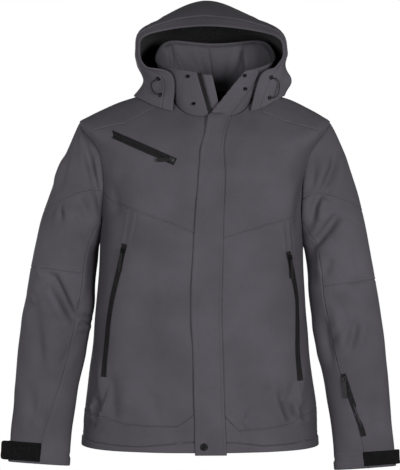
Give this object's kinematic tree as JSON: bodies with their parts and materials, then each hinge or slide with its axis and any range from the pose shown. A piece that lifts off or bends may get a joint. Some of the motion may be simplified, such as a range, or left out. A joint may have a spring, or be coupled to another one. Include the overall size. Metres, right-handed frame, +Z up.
{
  "type": "softshell jacket",
  "caption": "Hooded softshell jacket, hollow as worn: stand collar, storm flap over the main zip, pocket zips with pull tabs, open neck, hem and cuffs.",
  "frame": {"origin": "middle of the neck at the height of the shoulder points, where the jacket rests on the wearer", "axes": "+Z up from hem to hood, -Y the front with the zip, +X the wearer's left"},
  "size_m": [0.8485, 0.299, 1.0057],
  "materials": {
    "shell": "matt softshell",
    "tape": "matt woven tape",
    "hardware": "dark gunmetal",
    "pull": "matt black",
    "cord": "elastic cord"
  },
  "bodies": {
    "garment": {"chest_left": "shell", "front_left": "shell", "hem_left": "shell", "chest_right": "shell", "front_right": "shell", "hem_right": "shell", "back": "shell", "yoke": "shell", "sleeve_head_left": "shell", "sleeve_elbow_left": "shell", "sleeve_forearm_left": "shell", "under_sleeve_left": "shell", "sleeve_head_right": "shell", "sleeve_elbow_right": "shell", "sleeve_forearm_right": "shell", "under_sleeve_right": "shell", "collar_front_left": "shell", "collar_back": "shell", "collar_front_right": "shell", "collar_facing": "shell", "hood_brim": "shell", "hood_crown": "shell", "hood_side_left": "shell", "hood_side_right": "shell", "zip_tape_left": "tape", "zip_tape_right": "tape", "storm_flap": "shell", "zip_guard": "shell", "slider_front": "hardware", "zip_chest": "tape", "slider_chest": "hardware", "zip_pocket_right": "tape", "slider_pocket_right": "hardware", "zip_pocket_left": "tape", "slider_pocket_left": "hardware", "zip_sleeve": "tape", "slider_sleeve": "hardware", "cuff_tab_left": "tape", "cuff_tab_right": "tape", "stud_collar_upper": "hardware", "stud_collar_lower": "hardware", "stud_flap_upper": "hardware", "stud_flap_lower": "hardware", "stud_hem": "hardware", "eyelet_left_upper": "hardware", "eyelet_left_lower": "hardware", "eyelet_right_upper": "hardware", "eyelet_right_lower": "hardware", "cord_left": "cord", "cord_right": "cord"},
    "pull_chest": {"pull_chest": "pull"},
    "pull_pocket_right": {"pull_pocket_right": "pull"},
    "pull_pocket_left": {"pull_pocket_left": "pull"},
    "pull_sleeve": {"pull_sleeve": "pull"}
  },
  "joints": [
    {"name": "tab_chest", "type": "hinge", "parent": "garment", "child": "pull_chest", "pos_m": [-0.06229, -0.12619, -0.13293], "axis": [0.0188, -0.3377, -0.9411], "range_deg": [-150, 0]},
    {"name": "tab_pocket_right", "type": "hinge", "parent": "garment", "child": "pull_pocket_right", "pos_m": [-0.16534, -0.11367, -0.31994], "axis": [0.8301, -0.5394, -0.1411], "range_deg": [-150, 0]},
    {"name": "tab_pocket_left", "type": "hinge", "parent": "garment", "child": "pull_pocket_left", "pos_m": [0.18436, -0.09635, -0.33396], "axis": [0.7031, 0.7076, 0.0703], "range_deg": [-150, 0]},
    {"name": "tab_sleeve", "type": "hinge", "parent": "garment", "child": "pull_sleeve", "pos_m": [0.29561, -0.07388, -0.58834], "axis": [0.9455, -0.3116, 0.0945], "range_deg": [-150, 0]}
  ]
}
